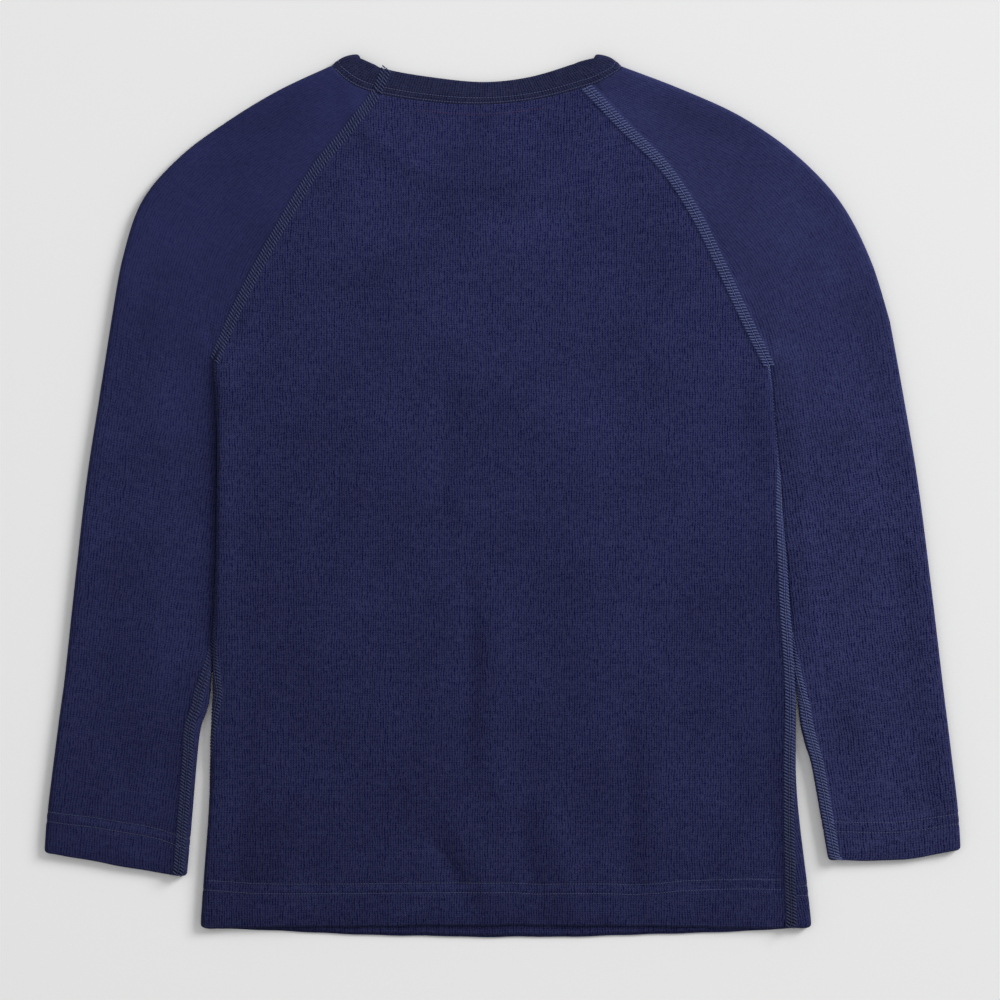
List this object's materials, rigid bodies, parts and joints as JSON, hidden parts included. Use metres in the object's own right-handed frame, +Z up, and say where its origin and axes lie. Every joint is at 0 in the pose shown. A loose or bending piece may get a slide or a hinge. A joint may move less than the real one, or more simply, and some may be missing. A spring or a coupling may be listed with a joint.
{
  "type": "thermal top",
  "caption": "Child's long-sleeved raglan thermal top in fine knit, laid flat with its back up, with a round ribbed neck and turned-up hem and cuffs.",
  "frame": {"origin": "middle of the footprint on the surface that the top lies on", "axes": "+X across the back to the sleeve on the right of the picture, +Y from the hem to the neck, +Z up from the floor through the front to the back"},
  "size_m": [0.5306, 0.5108, 0.006],
  "materials": {
    "knit": "matt fine knit, navy",
    "rib": "matt rib knit, navy",
    "thread": "matt sewing thread, slate blue"
  },
  "bodies": {
    "root": {"back": "knit", "front": "knit", "left_sleeve": "knit", "right_sleeve": "knit", "neckband": "rib"}
  },
  "joints": []
}
